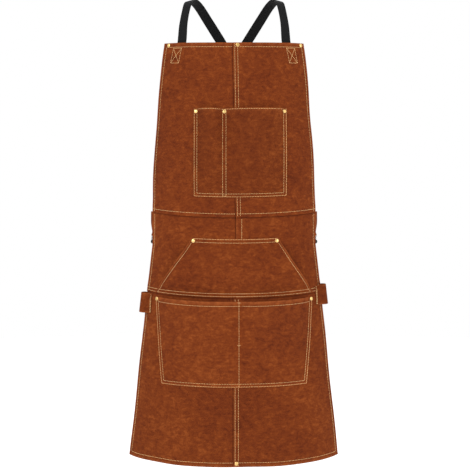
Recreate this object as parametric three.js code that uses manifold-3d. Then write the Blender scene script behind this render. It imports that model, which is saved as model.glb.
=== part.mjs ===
// A split-cowhide welding apron with three pockets and cross-back webbing straps, as it hangs from
// a wearer's shoulders. Millimetres, +Z up, +X to the right of someone looking at the apron's front,
// +Y away from them. The origin lies midway between the two shoulders, where the straps turn over.
import Module from 'manifold-3d';
import * as THREE from 'three';
import { mergeVertices } from 'three/addons/utils/BufferGeometryUtils.js';

const wasm = await Module();
wasm.setup();

// ---------------------------------------------------------------- driving dimensions

const clearance = 0.3;            // gap between pieces that touch
const leather = 1.4;
const hem = 12;                   // width of the folded edge

// Heights are measured down from the bib's top edge, and half-widths along the leather.
const shoulderRise = 127;
const waistSeam = 442;
const hipSeam = 640;
const flareStart = 520;
const apronLength = 1067;
const topHalf = 193;
const waistHalf = 237;
const hemHalf = 305;

// How the leather drapes round a body: how far forward its centre lies, and how far its sides turn.
const forwardAtTop = 95;
const forwardAtChest = 112;
const forwardAtWaist = 99;
const forwardAtHem = 118;
const chestHeight = 220;
const hipHeight = 760;
// The straps draw the side edges up by a little.
const liftAtTop = 8;
const liftAtWaist = 16;
const liftAtHem = 9;
const sideTurn = 1.0;
const sideTurnAtTop = 0.8;

// Lapped seams: where each one lies to the right of the centre line.
const bibSeam = { top: -2.5, bottom: 5 };
const waistPanelSeam = 5.5;
const skirtSeam = -1;

const chestPocket = { left: -103, right: 136.5, top: 168, bottom: 392, divider: -24, bulge: 16 };
const handPocket = { top: 496, topLeft: -110, topRight: 115, sideInset: 36, bulge: 16 };
const toolPocket = { top: 653, bottom: 868, topInset: 41, bottomInset: 90, divider: 12.5, bulge: 16 };
const sewnMargin = 13;            // width of the flat, stitched border of a pocket
const pocketSeat = 0.7;           // gap under that border, which the curved leather needs

const loop = { height: 50, standOff: 15, reach: 7, sewn: 10, front: 28, back: 22, left: 673, right: 652 };

const strapWidth = 26;
const strapThick = 1.6;
const strapCross = 3.0;           // how far one strap rides over the other at the crossing
const strapCrossHalf = 65;        // height over which it climbs on each side of the crossing

const tab = { width: strapWidth, top: 424, inset: -4, sewn: 30, drop: 485, stand: 1.1 };
const ringPlay = 4;               // how much wider the ring is inside than the strap
const ring = { wire: 4, inside: strapWidth + ringPlay, drop: 18, corner: 5 };
const strapEye = { radius: 5, mainOff: 14, returnOff: 24, straight: 95 };
const slider = { drop: 62, bar: 2.6, rail: 2.6, side: 1, pitch: 11, lapLength: 34 };

const rivet = { capRadius: 5, capHeight: 2.2, washerRadius: 4.6, washerHeight: 1, eyelet: 1.2 };
const rivetInset = 6;

// ---------------------------------------------------------------- materials

const suede = () => new THREE.MeshStandardMaterial({ color: 0x7f3d1d, roughness: 0.95, metalness: 0 });
const webbing = () => new THREE.MeshStandardMaterial({ color: 0x232424, roughness: 0.85, metalness: 0 });
const nickel = () => new THREE.MeshStandardMaterial({ color: 0xc9cacc, roughness: 0.25, metalness: 1 });
const brass = () => new THREE.MeshStandardMaterial({ color: 0xd9a95a, roughness: 0.28, metalness: 1 });

const apron = new THREE.Group();

function addPiece(name, geometry, material, parent = apron) {
  const mesh = new THREE.Mesh(geometry, material);
  mesh.name = name;
  parent.add(mesh);
  return mesh;
}

// ---------------------------------------------------------------- the draped surface

const smooth = (t) => t * t * (3 - 2 * t);
const share = (value, from, to) => Math.min(1, Math.max(0, (value - from) / (to - from)));
const mix = (a, b, t) => a + (b - a) * t;

// Half the apron's flat width at a height: it widens quickly below the bib's top corners,
// runs straight past the waist and flares to the hem.
function halfWidth(down) {
  if (down < waistSeam) return mix(topHalf, waistHalf, 1 - (1 - share(down, 0, waistSeam)) ** 1.8);
  return mix(waistHalf, hemHalf, share(down, flareStart, apronLength));
}

// How far the centre line lies in front of the shoulders.
function forward(down) {
  if (down < chestHeight) return mix(forwardAtTop, forwardAtChest, smooth(share(down, 0, chestHeight)));
  if (down < waistSeam) {
    return mix(forwardAtChest, forwardAtWaist, smooth(share(down, chestHeight, waistSeam)));
  }
  return mix(forwardAtWaist, forwardAtHem, smooth(share(down, waistSeam, hipHeight)));
}

// The angle that the leather has turned through at a distance from the centre line.
function turnAt(across, down) {
  const t = Math.min(1, across / halfWidth(down));
  const side = mix(sideTurnAtTop, sideTurn, smooth(share(down, 0, chestHeight)));
  return side * (t + t ** 3) / 2;
}

// How far a point is drawn up, most at the side edges and level with the waist.
function lift(across, down) {
  const t = Math.min(1.1, Math.abs(across) / halfWidth(down));
  const atSide = down < waistSeam
    ? mix(liftAtTop, liftAtWaist, smooth(share(down, 0, waistSeam)))
    : mix(liftAtWaist, liftAtHem, smooth(share(down, waistSeam, apronLength)));
  return atSide * t * t;
}

// A point of the draped apron: `across` along the leather, `down` from the top edge, and `out` from
// the leather's face. Past the side edge the surface runs straight on.
function drape(across, down, out = 0) {
  const side = Math.sign(across) || 1;
  const steps = 24;
  const reach = Math.abs(across);
  let x = 0;
  let y = 0;
  for (let i = 0; i < steps; i += 1) {
    const turn = turnAt(reach * (i + 0.5) / steps, down);
    x += Math.cos(turn) * reach / steps;
    y += Math.sin(turn) * reach / steps;
  }
  const turn = turnAt(reach, down);
  return new THREE.Vector3(
    side * (x + out * Math.sin(turn)),
    y - forward(down) - out * Math.cos(turn),
    lift(across, down) - shoulderRise - down,
  );
}

// ---------------------------------------------------------------- closed shells

// Faces point out when the enclosed volume is positive.
function facingOut(vertices, triangles) {
  let volume = 0;
  for (const [a, b, c] of triangles) {
    volume += vertices[a].dot(new THREE.Vector3().crossVectors(vertices[b], vertices[c]));
  }
  const turned = volume < 0 ? triangles.map(([a, b, c]) => [a, c, b]) : triangles;
  const geometry = new THREE.BufferGeometry().setFromPoints(vertices);
  geometry.setIndex(turned.flat());
  geometry.computeVertexNormals();
  return geometry;
}

// A closed sheet: `pair(i, j)` gives the front and back points of each node of a grid.
function shell(across, down, pair) {
  const vertices = [];
  for (let j = 0; j <= down; j += 1) {
    for (let i = 0; i <= across; i += 1) vertices.push(...pair(i, j));
  }
  const front = (i, j) => 2 * (j * (across + 1) + i);
  const back = (i, j) => front(i, j) + 1;
  const triangles = [];
  const quad = (a, b, c, d) => triangles.push([a, b, c], [c, b, d]);
  for (let j = 0; j < down; j += 1) {
    for (let i = 0; i < across; i += 1) {
      quad(front(i, j), front(i, j + 1), front(i + 1, j), front(i + 1, j + 1));
      quad(back(i, j), back(i + 1, j), back(i, j + 1), back(i + 1, j + 1));
    }
    quad(front(0, j), back(0, j), front(0, j + 1), back(0, j + 1));
    quad(front(across, j), front(across, j + 1), back(across, j), back(across, j + 1));
  }
  for (let i = 0; i < across; i += 1) {
    quad(front(i, 0), front(i + 1, 0), back(i, 0), back(i + 1, 0));
    quad(front(i, down), back(i, down), front(i + 1, down), back(i + 1, down));
  }
  return facingOut(vertices, triangles);
}

// A flat band that follows `stations`, each with a centre, a face normal and a sideways direction.
function band(stations, width, thick) {
  return shell(1, stations.length - 1, (i, j) => {
    const { centre, normal, sideways } = stations[j];
    const edge = centre.clone().addScaledVector(sideways, (i - 0.5) * width);
    return [
      edge.clone().addScaledVector(normal, thick / 2),
      edge.clone().addScaledVector(normal, -thick / 2),
    ];
  });
}

// A closed round wire through `points`, whose bends all lie in the plane with that normal.
function closedWire(points, planeNormal, radius, sides) {
  const count = points.length;
  const vertices = [];
  points.forEach((point, j) => {
    const along = points[(j + 1) % count].clone().sub(points[(j + count - 1) % count]).normalize();
    const aside = new THREE.Vector3().crossVectors(along, planeNormal).normalize();
    for (let i = 0; i < sides; i += 1) {
      const angle = 2 * Math.PI * i / sides;
      vertices.push(point.clone()
        .addScaledVector(aside, radius * Math.cos(angle))
        .addScaledVector(planeNormal, radius * Math.sin(angle)));
    }
  });
  const triangles = [];
  for (let j = 0; j < count; j += 1) {
    for (let i = 0; i < sides; i += 1) {
      const a = j * sides + i;
      const b = j * sides + (i + 1) % sides;
      const c = ((j + 1) % count) * sides + i;
      const d = ((j + 1) % count) * sides + (i + 1) % sides;
      triangles.push([a, b, c], [c, b, d]);
    }
  }
  return facingOut(vertices, triangles);
}

// Points of an arc in a plane, from one angle to another, in radians.
function arc(x, z, radius, from, to, steps) {
  return Array.from({ length: steps + 1 }, (_, i) => {
    const angle = mix(from, to, i / steps);
    return [x + radius * Math.cos(angle), z + radius * Math.sin(angle)];
  });
}

// ---------------------------------------------------------------- leather panels

// Grid positions from one edge to another, with a border of its own width at either end.
function spaced(from, to, cells, borderFrom = 0, borderTo = 0) {
  const first = borderFrom ? [from, from + borderFrom] : [from];
  const last = borderTo ? [to - borderTo, to] : [to];
  const a = first.at(-1);
  const b = last[0];
  const inner = Array.from({ length: cells - 1 }, (_, i) => mix(a, b, (i + 1) / cells));
  return [...first, ...inner, ...last];
}

// One panel between two heights and between its seam and its side edge, doubled where it is hemmed.
function panel({ side, seam, top, bottom, rows, columns = 9, hemTop = false, hemBottom = false }) {
  const downs = spaced(top, bottom, rows, hemTop ? hem : 0, hemBottom ? hem : 0);
  const foldStep = 0.4;
  return shell(columns + 1, downs.length - 1, (i, j) => {
    const down = downs[j];
    const inner = seam(down) + side * clearance / 2;
    const outer = side * halfWidth(down);
    const fold = outer - side * hem;
    const acrosses = [...Array.from({ length: columns + 1 }, (_, k) => mix(inner, fold, k / columns)), outer];
    const across = acrosses[i];
    const inTopHem = hemTop && down < top + hem + foldStep;
    const inBottomHem = hemBottom && down > bottom - hem - foldStep;
    const doubled = i >= columns || inTopHem || inBottomHem;
    return [drape(across, down), drape(across, down, -(doubled ? 2 : 1) * leather)];
  });
}

const bibSeamAt = (down) => mix(bibSeam.top, bibSeam.bottom, down / waistSeam);
const sides = [{ word: 'left', side: -1 }, { word: 'right', side: 1 }];

for (const { word, side } of sides) {
  addPiece(`bib_panel_${word}`, panel({
    side, seam: bibSeamAt, top: 0, bottom: waistSeam - clearance / 2, rows: 14, hemTop: true,
  }), suede());
  addPiece(`waist_panel_${word}`, panel({
    side,
    seam: () => waistPanelSeam,
    top: waistSeam + clearance / 2,
    bottom: hipSeam - clearance / 2,
    rows: 7,
  }), suede());
  addPiece(`skirt_panel_${word}`, panel({
    side, seam: () => skirtSeam, top: hipSeam + clearance / 2, bottom: apronLength, rows: 13, hemBottom: true,
  }), suede());
}

// ---------------------------------------------------------------- pockets

// How far a compartment stands open between the borders that its stitching holds flat.
const fullness = (position, from, to) => Math.sin(Math.PI * share(position, from, to)) ** 0.8;

// A patch pocket whose compartments lie between upright rows of stitching, open at the top.
function patchPocket({ left, right, top, bottom, divider, bulge }, cells) {
  const half = sewnMargin / 2;
  const columns = (down) => [
    ...spaced(left(down), divider, cells[0], sewnMargin, half).slice(0, -1),
    ...spaced(divider, right(down), cells[1], half, sewnMargin),
  ];
  const downs = spaced(top, bottom, 6, 0, sewnMargin);
  const outAt = (across, down) => {
    const sideways = across < divider
      ? fullness(across, left(down) + sewnMargin, divider - half)
      : fullness(across, divider + half, right(down) - sewnMargin);
    const upright = smooth(1 - share(down, top, bottom - sewnMargin)) ** 0.5;
    return pocketSeat + bulge * upright * sideways;
  };
  return shell(columns(top).length - 1, downs.length - 1, (i, j) => {
    const down = downs[j];
    const across = columns(down)[i];
    const out = outAt(across, down);
    return [drape(across, down, out + leather), drape(across, down, out)];
  });
}

addPiece('chest_pocket', patchPocket({
  ...chestPocket,
  left: () => chestPocket.left,
  right: () => chestPocket.right,
}, [5, 9]), suede());

// The tool pocket's sides lean in from the apron's side edges towards its bottom.
function toolSide(side) {
  const atTop = halfWidth(toolPocket.top) - toolPocket.topInset;
  const atBottom = halfWidth(toolPocket.bottom) - toolPocket.bottomInset;
  return (down) => side * mix(atTop, atBottom, share(down, toolPocket.top, toolPocket.bottom));
}

addPiece('tool_pocket', patchPocket({
  ...toolPocket,
  left: toolSide(-1),
  right: toolSide(1),
}, [11, 10]), suede());

// The hand pocket is sewn along its top and into the hip seam, and open along both slanting sides.
const handPocketBottom = hipSeam - clearance;
function handSide(side, down) {
  const atTop = side < 0 ? handPocket.topLeft : handPocket.topRight;
  const atBottom = side * (halfWidth(handPocketBottom) - handPocket.sideInset);
  const t = share(down, handPocket.top, handPocketBottom);
  return mix(atTop, atBottom, mix(t, t * t, 0.45));
}

const handCells = 30;
const handDowns = spaced(handPocket.top, handPocketBottom, 6, sewnMargin, sewnMargin);
addPiece('hand_pocket', shell(handCells, handDowns.length - 1, (i, j) => {
  const down = handDowns[j];
  const across = mix(handSide(-1, down), handSide(1, down), i / handCells);
  const open = fullness(down, handPocket.top + sewnMargin, handPocketBottom - sewnMargin);
  const out = pocketSeat + handPocket.bulge * open;
  return [drape(across, down, out + leather), drape(across, down, out)];
}), suede());

// ---------------------------------------------------------------- hammer loops

// A leather band sewn to the front near the side edge, bowed out past the edge and sewn on behind.
function hammerLoop(side, centreDown) {
  const half = loop.height / 2;
  const behind = -2 * leather - clearance - leather;
  const outerRadius = (loop.standOff + leather - behind) / 2;
  const route = (edge) => [
    [edge - loop.front, clearance],
    [edge - loop.front + loop.sewn * 0.6, clearance],
    [edge - loop.front + loop.sewn * 1.3, loop.standOff * 0.45],
    [edge - loop.front + loop.sewn * 2, loop.standOff * 0.92],
    ...arc(edge + loop.reach - outerRadius, loop.standOff - outerRadius, outerRadius, Math.PI / 2, -Math.PI / 2, 10),
    [edge - loop.back + loop.sewn, behind],
    [edge - loop.back, behind],
  ];
  const count = route(0).length;
  return shell(4, count - 1, (i, j) => {
    const down = centreDown - half + loop.height * i / 4;
    const points = route(halfWidth(centreDown));
    const before = points[Math.max(0, j - 1)];
    const after = points[Math.min(count - 1, j + 1)];
    const length = Math.hypot(after[0] - before[0], after[1] - before[1]);
    const outward = [-(after[1] - before[1]) / length, (after[0] - before[0]) / length];
    const edgeShift = halfWidth(down) - halfWidth(centreDown);
    const [across, out] = points[j];
    return [
      drape(side * (across + edgeShift + outward[0] * leather), down, out + outward[1] * leather),
      drape(side * (across + edgeShift), down, out),
    ];
  });
}

addPiece('hammer_loop_left', hammerLoop(-1, loop.left), suede());
addPiece('hammer_loop_right', hammerLoop(1, loop.right), suede());

// ---------------------------------------------------------------- waist hardware

// The frame of the hardware at one side: `place(out, up, aside)` measures from the ring's lower bar.
const ringTopBar = tab.drop;
const ringLowBar = ringTopBar + ring.drop;
const barBehind = 2 * leather + clearance + strapEye.radius + strapThick / 2;
const tabLean = barBehind - 2 * leather - tab.stand - leather - clearance / 2;

function sideFrame(side) {
  const across = halfWidth(tab.top) - tab.inset;
  const turn = turnAt(across, tab.top);
  const origin = drape(side * across, tab.top, -barBehind).setZ(-shoulderRise - ringLowBar);
  const outward = new THREE.Vector3(side * Math.sin(turn), -Math.cos(turn), 0);
  const aside = new THREE.Vector3(side * Math.cos(turn), Math.sin(turn), 0);
  const up = new THREE.Vector3(0, 0, 1);
  const place = (out, rise, sideways = 0) => origin.clone()
    .addScaledVector(outward, out)
    .addScaledVector(up, rise)
    .addScaledVector(aside, sideways);
  return { side, outward, aside, up, place };
}

// Stations of a band that runs in the frame's out-and-up plane.
function stationsIn(frame, route) {
  return route.map((point, i) => {
    const before = route[Math.max(0, i - 1)];
    const after = route[Math.min(route.length - 1, i + 1)];
    const run = [after[0] - before[0], after[1] - before[1]];
    const length = Math.hypot(...run);
    return {
      centre: frame.place(...point),
      normal: frame.outward.clone().multiplyScalar(-run[1] / length)
        .addScaledVector(frame.up, run[0] / length),
      sideways: frame.aside,
    };
  });
}

// The tab: leather folded round the ring's upper bar, its two layers sewn together above the fold.
function tabRoute() {
  const barHeight = ringLowBar - ringTopBar;
  const topHeight = ringLowBar - tab.top;
  const half = (leather + clearance) / 2;
  const eye = ring.wire / 2 + clearance + leather / 2 + 0.2;
  const neck = barHeight + 2.2 * eye;
  const sewnTo = topHeight - tab.sewn;
  return [
    [half + tabLean, topHeight],
    [half + tabLean, sewnTo],
    [half + tabLean / 2, (sewnTo + neck) / 2],
    [half, neck],
    ...arc(0, barHeight, eye, 0.8, -Math.PI - 0.8, 14),
    [-half, neck],
    [-half + tabLean / 2, (sewnTo + neck) / 2],
    [-half + tabLean, sewnTo],
    [-half + tabLean, topHeight - tab.sewn * 0.2],
  ];
}

// The ring: round wire bent into a rectangle, one long bar in the tab and the other in the strap.
function ringPoints(frame) {
  const halfLong = ring.inside / 2 + ring.wire / 2;
  const halfTall = ring.drop / 2;
  const corners = [[1, 1, 0], [-1, 1, 1], [-1, -1, 2], [1, -1, 3]];
  return corners.flatMap(([x, z, quarter]) => arc(
    x * (halfLong - ring.corner),
    halfTall + z * (halfTall - ring.corner),
    ring.corner,
    quarter * Math.PI / 2,
    (quarter + 1) * Math.PI / 2,
    5,
  )).map(([aside, rise]) => frame.place(0, rise, aside));
}

// The strap's lower end: down behind the ring, out through it, round its lower bar and back up.
function strapEndRoute() {
  const { radius, mainOff, returnOff, straight } = strapEye;
  const bend = 3.5;
  return [
    [-mainOff, straight * 0.66],
    [-mainOff, straight * 0.33],
    [-mainOff, radius + bend + 6],
    ...arc(-mainOff + bend, radius + bend, bend, Math.PI, 1.5 * Math.PI, 3),
    ...arc(0, 0, radius, Math.PI / 2, -Math.PI / 2, 8),
    ...arc(-returnOff + bend, -radius + bend, bend, 1.5 * Math.PI, Math.PI, 3),
    [-returnOff, slider.drop * 0.5],
    [-returnOff, slider.drop],
  ];
}

// The slider: two rails joined by two outer bars in front of the strap and a middle bar behind it.
const sliderOuter = -strapEye.mainOff + strapThick / 2 + 0.4 + slider.bar / 2;
const sliderInner = -strapEye.mainOff - strapThick / 2 - 0.4 - strapThick - clearance - slider.bar / 2 - 0.1;

function solidFrom(geometry) {
  const bare = geometry.clone();
  bare.deleteAttribute('normal');
  bare.deleteAttribute('uv');
  const merged = mergeVertices(bare, 1e-4);
  const numbers = {
    numProp: 3,
    vertProperties: merged.attributes.position.array,
    triVerts: new Uint32Array(merged.index.array),
  };
  return new wasm.Manifold(new wasm.Mesh(numbers));
}

function geometryFrom(solid) {
  const mesh = solid.getMesh();
  const geometry = new THREE.BufferGeometry();
  geometry.setAttribute('position', new THREE.BufferAttribute(mesh.vertProperties, 3));
  geometry.setIndex([...mesh.triVerts]);
  geometry.computeVertexNormals();
  return geometry;
}

function sliderGeometry() {
  const half = strapWidth / 2 + slider.side + slider.rail / 2;
  const depth = sliderOuter - sliderInner;
  const railHeight = 2 * slider.pitch + slider.bar;
  const railShape = new THREE.Shape([
    new THREE.Vector2(sliderOuter + slider.bar / 2, railHeight / 2),
    new THREE.Vector2(sliderOuter - slider.bar / 2, railHeight / 2),
    new THREE.Vector2(sliderInner - slider.bar / 2, slider.bar),
    new THREE.Vector2(sliderInner - slider.bar / 2, -slider.bar),
    new THREE.Vector2(sliderOuter - slider.bar / 2, -railHeight / 2),
    new THREE.Vector2(sliderOuter + slider.bar / 2, -railHeight / 2),
    new THREE.Vector2(sliderOuter + slider.bar / 2, -slider.pitch + slider.bar),
    new THREE.Vector2(sliderInner + slider.bar / 2 + depth * 0.35, 0),
    new THREE.Vector2(sliderOuter + slider.bar / 2, slider.pitch - slider.bar),
  ]);
  const rail = new THREE.ExtrudeGeometry(railShape, { depth: slider.rail, bevelEnabled: false });
  const bar = new THREE.CylinderGeometry(slider.bar / 2, slider.bar / 2, 2 * half, 12);
  bar.rotateX(Math.PI / 2);
  const pieces = [
    rail.clone().translate(0, 0, half - slider.rail / 2),
    rail.clone().translate(0, 0, -half - slider.rail / 2),
    bar.clone().translate(sliderOuter, slider.pitch, 0),
    bar.clone().translate(sliderOuter, -slider.pitch, 0),
    bar.clone().translate(sliderInner, 0, 0),
  ];
  return geometryFrom(pieces.map(solidFrom).reduce((whole, piece) => whole.add(piece)));
}

// The webbing's sewn end: a loop round the slider's middle bar, its two layers lying on the return run.
function lapRoute() {
  const eye = slider.bar / 2 + clearance + strapThick / 2;
  const inner = -strapEye.returnOff + strapThick + clearance;
  const outer = inner + strapThick + clearance;
  const end = -slider.lapLength;
  return [
    [outer, end],
    [outer, end * 0.6],
    [mix(sliderInner + eye, outer, 0.5), end * 0.36],
    ...arc(sliderInner, 0, eye, -0.3, Math.PI + 0.5, 12),
    [inner, end * 0.3],
    [inner, end * 0.6],
    [inner, end],
  ];
}

// ---------------------------------------------------------------- straps

// The run of the strap that starts behind the bib's left corner and ends at the right side,
// as points chosen along it: over the shoulder, across the back and round the flank.
const crossing = new THREE.Vector3(0, 110, -142);
const strapPoints = [
  new THREE.Vector3(-129, -60, -70),
  new THREE.Vector3(-119, -41, -17),
  new THREE.Vector3(-110.5, -4, 0),
  new THREE.Vector3(-94.5, 42, -5),
  new THREE.Vector3(-69, 79, -38),
  new THREE.Vector3(-38.5, 99, -83),
  crossing,
  new THREE.Vector3(62, 106, -238),
  new THREE.Vector3(117, 90, -326),
  new THREE.Vector3(160, 60, -404),
  new THREE.Vector3(187, 24, -468),
];
const sewnEnd = { across: 151, down: 54 };
const leavesBib = { across: 139, down: 2 };

// The way a strap faces: outward from a body that is narrow front to back and rounded at the shoulder.
function bodyNormal(point) {
  const shoulder = Math.max(0, point.z + 95);
  return new THREE.Vector3(point.x / 200 ** 2, point.y / 112 ** 2, shoulder / 88 ** 2).normalize();
}

function strapStations(frame, rides) {
  const mirror = new THREE.Vector3(frame.side, 1, 1);
  const behindBib = -2 * leather - 5 * clearance - strapThick / 2;
  const sewn = [sewnEnd, leavesBib].map(({ across, down }) => drape(-frame.side * across, down, behindBib));
  const bibTurn = turnAt((sewnEnd.across + leavesBib.across) / 2, leavesBib.down);
  const bibNormal = new THREE.Vector3(-frame.side * Math.sin(bibTurn), -Math.cos(bibTurn), 0);
  const straightTop = frame.place(-strapEye.mainOff, strapEye.straight);
  const curve = new THREE.CatmullRomCurve3([
    ...sewn,
    ...strapPoints.map((point) => point.clone().multiply(mirror)),
    straightTop,
    frame.place(-strapEye.mainOff, strapEye.straight * 0.8),
  ], false, 'centripetal');
  const count = 64;
  const stations = [];
  for (let i = 0; i < count; i += 1) {
    const t = i / count;
    const centre = curve.getPointAt(t);
    const along = curve.getTangentAt(t);
    const fromCrossing = centre.y > 0 ? Math.abs(centre.z - crossing.z) : strapCrossHalf;
    const climb = 1 - share(fromCrossing, strapCrossHalf * 0.55, strapCrossHalf);
    const flank = smooth(share(-centre.z, 400, -straightTop.z - 8));
    const facing = bodyNormal(centre).lerp(frame.outward, flank);
    if (centre.y < 0 && centre.x * frame.side < 0) {
      facing.normalize().lerp(bibNormal, smooth(share(-centre.z, shoulderRise * 0.5, shoulderRise - 8)));
    }
    facing.normalize();
    const sideways = new THREE.Vector3().crossVectors(along, facing).normalize();
    const normal = new THREE.Vector3().crossVectors(sideways, along).normalize();
    centre.addScaledVector(normal, rides * strapCross * smooth(climb));
    stations.push({ centre, normal, sideways });
  }
  return stations;
}

for (const { word, side } of sides) {
  const frame = sideFrame(side);
  addPiece(`waist_tab_${word}`, band(stationsIn(frame, tabRoute()), tab.width, leather), suede());
  addPiece(`ring_${word}`, closedWire(ringPoints(frame), frame.outward, ring.wire / 2, 8), nickel());

  const strap = strapStations(frame, side > 0 ? 1 : 0);
  const lower = stationsIn(frame, strapEndRoute());
  const sameWay = Math.sign(strap.at(-1).sideways.dot(frame.aside));
  const end = lower.map(({ centre, normal, sideways }) => ({
    centre,
    normal: normal.multiplyScalar(sameWay),
    sideways: sideways.clone().multiplyScalar(sameWay),
  }));
  addPiece(`strap_to_${word}_ring`, band([...strap, ...end], strapWidth, strapThick), webbing());

  const sliding = new THREE.Group();
  const axes = new THREE.Matrix4().makeBasis(frame.outward, frame.up, frame.aside.clone().multiplyScalar(-side));
  sliding.applyMatrix4(axes.setPosition(frame.place(0, slider.drop)));
  apron.add(sliding);
  addPiece(`slider_${word}`, sliderGeometry(), nickel(), sliding);
  const lapFrame = {
    outward: new THREE.Vector3(1, 0, 0),
    up: new THREE.Vector3(0, 1, 0),
    aside: new THREE.Vector3(0, 0, 1),
    place: (out, rise) => new THREE.Vector3(out, rise, 0),
  };
  addPiece(`strap_end_${word}`, band(stationsIn(lapFrame, lapRoute()), strapWidth, strapThick), webbing(), sliding);
}

// ---------------------------------------------------------------- rivets

const lathe = (points, segments) => new THREE.LatheGeometry(
  points.map(([x, y]) => new THREE.Vector2(x, y)),
  segments,
);

function capGeometry() {
  const { capRadius: r, capHeight: h } = rivet;
  return lathe([[0, 0], [r * 0.95, 0], [r, h * 0.3], [r * 0.82, h * 0.74], [r * 0.5, h * 0.95], [0, h]], 16);
}

function washerGeometry() {
  const { washerRadius: r, washerHeight: h, eyelet } = rivet;
  return lathe([[0, 0], [r, 0], [r, h * 0.6], [r * 0.9, h], [eyelet, h], [0, h * 1.6]], 16);
}

// A rivet's cap on the front of the leather and its washer behind, both square to the surface.
function addRivet(name, across, down, out, layersBehind) {
  const step = 3;
  const along = drape(across + step, down).sub(drape(across - step, down));
  const fall = drape(across, down + step).sub(drape(across, down - step));
  const outward = new THREE.Vector3().crossVectors(fall, along).normalize();
  const seat = drape(across, down);
  for (const [part, geometry, gap, facing] of [
    ['cap', capGeometry(), out + 2 * clearance, outward],
    ['washer', washerGeometry(), layersBehind * leather + 3 * clearance, outward.clone().negate()],
  ]) {
    const piece = addPiece(`${name}_${part}`, geometry, brass());
    piece.position.copy(seat).addScaledVector(facing, gap);
    piece.quaternion.setFromUnitVectors(new THREE.Vector3(0, 1, 0), facing);
  }
}

const onPocket = pocketSeat + leather;
const pocketInset = sewnMargin / 2;
addRivet('rivet_bib_left', -topHalf + 17, rivetInset, 0, 2);
addRivet('rivet_bib_centre', 9, rivetInset, 0, 2);
addRivet('rivet_bib_right', topHalf - 12, rivetInset, 0, 2);
addRivet('rivet_hem', 6.5, apronLength - rivetInset - 3, 0, 2);
addRivet('rivet_chest_left', chestPocket.left + pocketInset, chestPocket.top + 9, onPocket, 1);
addRivet('rivet_chest_divider', chestPocket.divider, chestPocket.top + 9, onPocket, 1);
addRivet('rivet_chest_right', chestPocket.right - pocketInset, chestPocket.top + 9, onPocket, 1);
addRivet('rivet_hand_left', handPocket.topLeft + pocketInset, handPocket.top + 8, onPocket, 1);
addRivet('rivet_hand_right', handPocket.topRight - pocketInset, handPocket.top + 8, onPocket, 1);
for (const { word, side } of sides) {
  const across = toolSide(side)(toolPocket.top) - side * 5;
  addRivet(`rivet_tool_${word}`, across, toolPocket.top + 5.5, onPocket, 1);
}

export default apron;
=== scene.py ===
"""A suede welding apron with cross-back webbing straps, as it hangs from a wearer's shoulders.

Metres, +Z up, -Y to the front. A place on the leather is `across` from the centre line along the
leather, `down` from the bib's top edge, and `out` from its face, all in the frame of the CAD model.
"""

import bpy
import numpy as np
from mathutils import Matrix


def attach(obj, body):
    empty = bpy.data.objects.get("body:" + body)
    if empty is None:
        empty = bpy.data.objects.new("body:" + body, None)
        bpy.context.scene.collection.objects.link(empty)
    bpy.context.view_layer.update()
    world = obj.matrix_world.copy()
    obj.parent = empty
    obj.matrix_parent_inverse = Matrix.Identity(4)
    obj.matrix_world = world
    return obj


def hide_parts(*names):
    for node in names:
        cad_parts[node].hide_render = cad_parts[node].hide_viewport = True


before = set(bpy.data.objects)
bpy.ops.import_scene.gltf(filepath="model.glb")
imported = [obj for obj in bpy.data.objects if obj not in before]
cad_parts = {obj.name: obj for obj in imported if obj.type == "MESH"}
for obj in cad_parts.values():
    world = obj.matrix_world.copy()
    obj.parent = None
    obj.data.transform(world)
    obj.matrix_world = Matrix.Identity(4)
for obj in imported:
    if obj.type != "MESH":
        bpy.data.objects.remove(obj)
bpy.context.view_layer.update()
scene = bpy.context.scene
scene.view_settings.view_transform = "Standard"
SIDES = ((-1, "left"), (1, "right"))


# ---------------------------------------------------------------- studio

# A level camera straight in front, at half the apron's height. Soft boxes to the left, the right and
# above stand in a white room, over a plain pale floor that the hem hangs clear of.
camera = bpy.data.objects.new("camera", bpy.data.cameras.new("camera"))
camera.data.sensor_width = 36
camera.data.lens = 73.35
camera.location = (0.0025, -2.51, -0.613)
camera.rotation_euler = (np.pi / 2, 0, 0)
scene.collection.objects.link(camera)
scene.camera = camera

room = bpy.data.worlds.new("white_room")
room.use_nodes = True
room.node_tree.nodes["Background"].inputs["Color"].default_value = (1, 1, 1, 1)
room.node_tree.nodes["Background"].inputs["Strength"].default_value = 1.0
scene.world = room


def soft_box(name, place, target, size, power):
    """A square area light at a place, turned towards a target."""
    light = bpy.data.lights.new(name, "AREA")
    light.size = size
    light.energy = power
    box = bpy.data.objects.new(name, light)
    box.location = place
    away = np.subtract(place, target)
    level = np.hypot(away[0], away[1])
    box.rotation_euler = (np.arctan2(level, away[2]), 0, np.arctan2(away[1], away[0]) + np.pi / 2)
    scene.collection.objects.link(box)


soft_box("key_light", (-1.8, -2.2, 0.7), (0, 0, -0.5), 1.6, 36)
soft_box("fill_light", (2.2, -1.8, 0.1), (0, 0, -0.6), 1.8, 24.5)
soft_box("back_light", (0.6, 2.2, 0.9), (0, 0, -0.5), 1.6, 22)


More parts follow.
